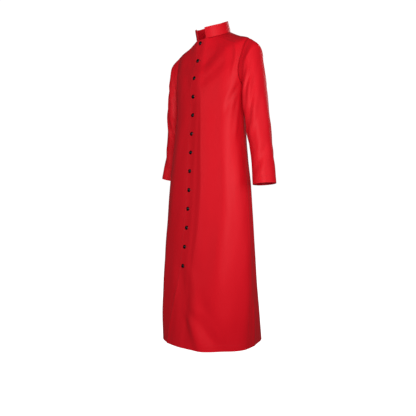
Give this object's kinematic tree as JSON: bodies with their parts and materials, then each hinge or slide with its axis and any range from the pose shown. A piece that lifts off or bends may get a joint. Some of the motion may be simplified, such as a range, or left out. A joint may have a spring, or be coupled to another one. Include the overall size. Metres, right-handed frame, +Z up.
{
  "type": "cassock",
  "caption": "Calf-length button-front cassock of red cloth with a stand collar, set-in sleeves and a flared skirt, hollow and open as it is worn.",
  "frame": {"origin": "where the wearer's neck and shoulders hold the garment: midway between the two points where the collar meets the shoulder seams", "axes": "+Z up the wearer's body, -Y the way the wearer faces, +X the wearer's left"},
  "size_m": [0.6398, 0.3776, 1.3475],
  "materials": {
    "cloth": "satin-faced woven polyester",
    "buttons": "polished black"
  },
  "bodies": {
    "root": {"front_left": "cloth", "front_right": "cloth", "back_left": "cloth", "back_right": "cloth", "sleeve_left": "cloth", "sleeve_right": "cloth", "collar": "cloth", "button_01": "buttons", "button_02": "buttons", "button_03": "buttons", "button_04": "buttons", "button_05": "buttons", "button_06": "buttons", "button_07": "buttons", "button_08": "buttons", "button_09": "buttons", "button_10": "buttons", "button_11": "buttons", "button_12": "buttons", "button_13": "buttons"}
  },
  "joints": []
}
